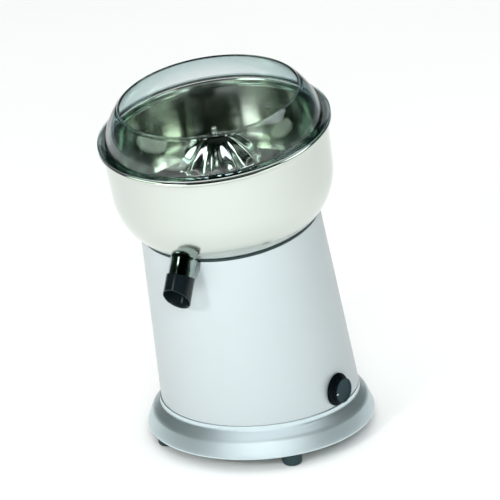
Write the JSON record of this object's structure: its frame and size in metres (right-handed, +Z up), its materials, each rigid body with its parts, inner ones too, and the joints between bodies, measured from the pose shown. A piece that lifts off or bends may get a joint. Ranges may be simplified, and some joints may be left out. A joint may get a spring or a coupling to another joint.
{
  "type": "citrus press juicer",
  "caption": "Electric citrus juicer: leaning motor column on a round base, polished bowl with ribbed reamer, clear splash guard and front spout.",
  "frame": {"origin": "on the floor under the middle of the whole object's box", "axes": "+Z up, -Y towards the front where the spout is, +X towards the side with the switch"},
  "size_m": [0.236, 0.2827, 0.392],
  "materials": {
    "silver_paint": "satin silver lacquer on cast aluminium, roughness about 0.35",
    "polished_steel": "stainless steel, polished bright inside and out, roughness about 0.1",
    "clear_plastic": "clear acrylic with a faint grey-green tint, glossy",
    "black_rubber": "black rubber, satin, glossy on the spout sleeve",
    "black_plastic": "moulded black plastic, fine satin grain",
    "zinc_steel": "zinc-plated steel, dull",
    "bearing_steel": "ground bright steel",
    "lamination_steel": "varnished laminated steel",
    "winding_copper": "enamelled copper wire",
    "cast_aluminium": "as-cast, matt",
    "terminal_plastic": "matt cream moulding"
  },
  "bodies": {
    "housing": {"base_ring": "silver_paint", "body_shell": "silver_paint", "bowl": "polished_steel", "bowl_tube": "polished_steel", "strainer": "polished_steel", "spout_pipe": "polished_steel", "bowl_gasket": "black_rubber", "shaft_seal": "black_rubber", "spout_sleeve": "black_rubber", "foot_front_left": "black_rubber", "foot_front_right": "black_rubber", "foot_rear_right": "black_rubber", "foot_rear_left": "black_rubber", "switch_body": "black_plastic", "cable_gland": "black_plastic", "gland_nut": "black_plastic", "bottom_cover": "zinc_steel", "capacitor_clip": "zinc_steel", "switch_nut": "zinc_steel", "motor_can": "zinc_steel", "foot_screw_front_left": "zinc_steel", "foot_screw_front_right": "zinc_steel", "foot_screw_rear_right": "zinc_steel", "foot_screw_rear_left": "zinc_steel", "body_screw_1": "zinc_steel", "body_screw_2": "zinc_steel", "body_screw_3": "zinc_steel", "body_screw_4": "zinc_steel", "motor_screw_1": "zinc_steel", "motor_screw_2": "zinc_steel", "motor_screw_3": "zinc_steel", "motor_screw_4": "zinc_steel", "upper_bearing": "bearing_steel", "lower_bearing": "bearing_steel", "stator_core": "lamination_steel", "winding_lower": "winding_copper", "winding_upper": "winding_copper", "motor_top_plate": "cast_aluminium", "run_capacitor": "cast_aluminium", "terminal_block": "terminal_plastic"},
    "spindle": {"motor_shaft": "bearing_steel", "drive_pin": "bearing_steel", "rotor": "lamination_steel", "cooling_fan": "black_plastic"},
    "reamer": {"reamer": "polished_steel"},
    "guard": {"splash_guard": "clear_plastic"},
    "switch": {"switch_knob": "black_plastic", "switch_stem": "zinc_steel"}
  },
  "joints": [
    {"name": "spindle_spin", "type": "hinge", "parent": "housing", "child": "spindle", "pos_m": [0, 0.0233, 0.045], "axis": [0, -0.1668, 0.986], "continuous": true},
    {"name": "reamer_lift", "type": "slide", "parent": "spindle", "child": "reamer", "axis": [0, -0.1668, 0.986], "range_m": [0, 0.06]},
    {"name": "guard_lift", "type": "slide", "parent": "housing", "child": "guard", "axis": [0, -0.1668, 0.986], "range_m": [0, 0.06]},
    {"name": "switch_turn", "type": "hinge", "parent": "housing", "child": "switch", "pos_m": [0.09978, 0.00435, 0.06228], "axis": [0.986, -0.1637, 0.0314], "range_deg": [0, 90]}
  ]
}
